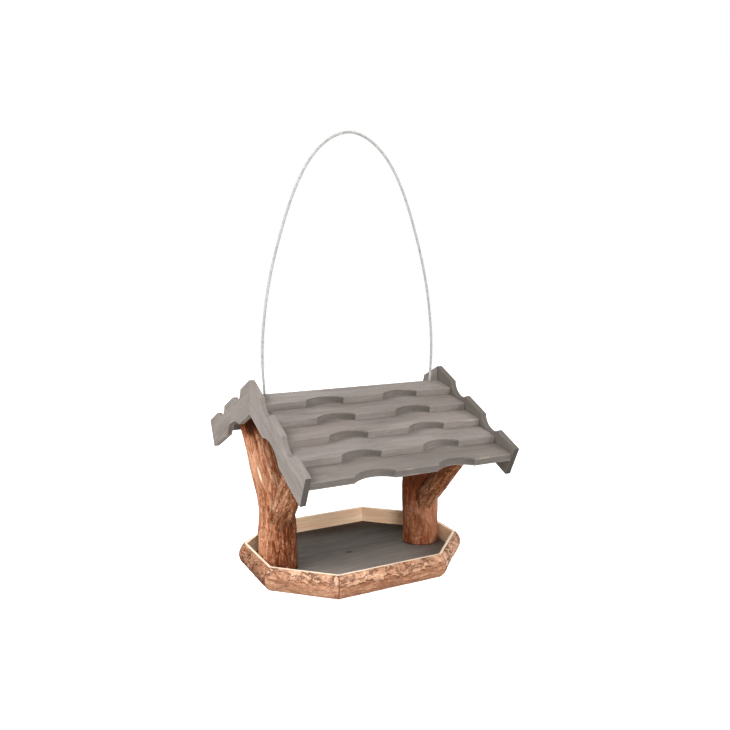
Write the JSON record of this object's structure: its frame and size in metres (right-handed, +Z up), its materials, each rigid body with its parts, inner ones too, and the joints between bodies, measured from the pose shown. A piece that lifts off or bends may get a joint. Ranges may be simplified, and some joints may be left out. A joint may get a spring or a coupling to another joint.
{
  "type": "hanging bird feeder",
  "caption": "Hanging garden bird feeder: a bark-rimmed octagonal tray under a gabled roof of lapped, scalloped boards on forked log posts, hung by a rope loop.",
  "frame": {"origin": "on the ground under the middle of the tray", "axes": "+X along the ridge to the right, -Y to the front, +Z up"},
  "size_m": [0.346, 0.4136, 0.6755],
  "materials": {
    "floor_stain": "dark grey stain, sawn",
    "rim_slab": "bark outside, pale sawn pine inside",
    "log_bark": "thin flaking bark",
    "grey_stain": "grey stain on planed softwood",
    "rope": "braided, stiff, matt",
    "steel": "plain zinc"
  },
  "bodies": {
    "feeder": {"floor_board": "floor_stain", "rim_front": "rim_slab", "rim_front_right": "rim_slab", "rim_right": "rim_slab", "rim_back_right": "rim_slab", "rim_back": "rim_slab", "rim_back_left": "rim_slab", "rim_left": "rim_slab", "rim_front_left": "rim_slab", "trunk_left": "log_bark", "trunk_right": "log_bark", "branch_left": "log_bark", "branch_right": "log_bark", "front_board_1": "grey_stain", "front_board_2": "grey_stain", "front_board_3": "grey_stain", "front_board_4": "grey_stain", "front_board_5": "grey_stain", "back_board_1": "grey_stain", "back_board_2": "grey_stain", "back_board_3": "grey_stain", "back_board_4": "grey_stain", "back_board_5": "grey_stain", "bargeboard_left_front": "grey_stain", "bargeboard_left_back": "grey_stain", "bargeboard_right_front": "grey_stain", "bargeboard_right_back": "grey_stain", "rope_end_left": "rope", "rope_end_right": "rope", "floor_screws": "steel", "branch_screws": "steel", "rim_brads": "steel", "gable_brads": "steel", "roof_nails": "steel"},
    "rope_loop": {"hanging_rope": "rope"}
  },
  "joints": [
    {"name": "rope_swing", "type": "hinge", "parent": "feeder", "child": "rope_loop", "pos_m": [0, 0, 0.2855], "axis": [1, 0, 0], "range_deg": [-100, 100]}
  ]
}
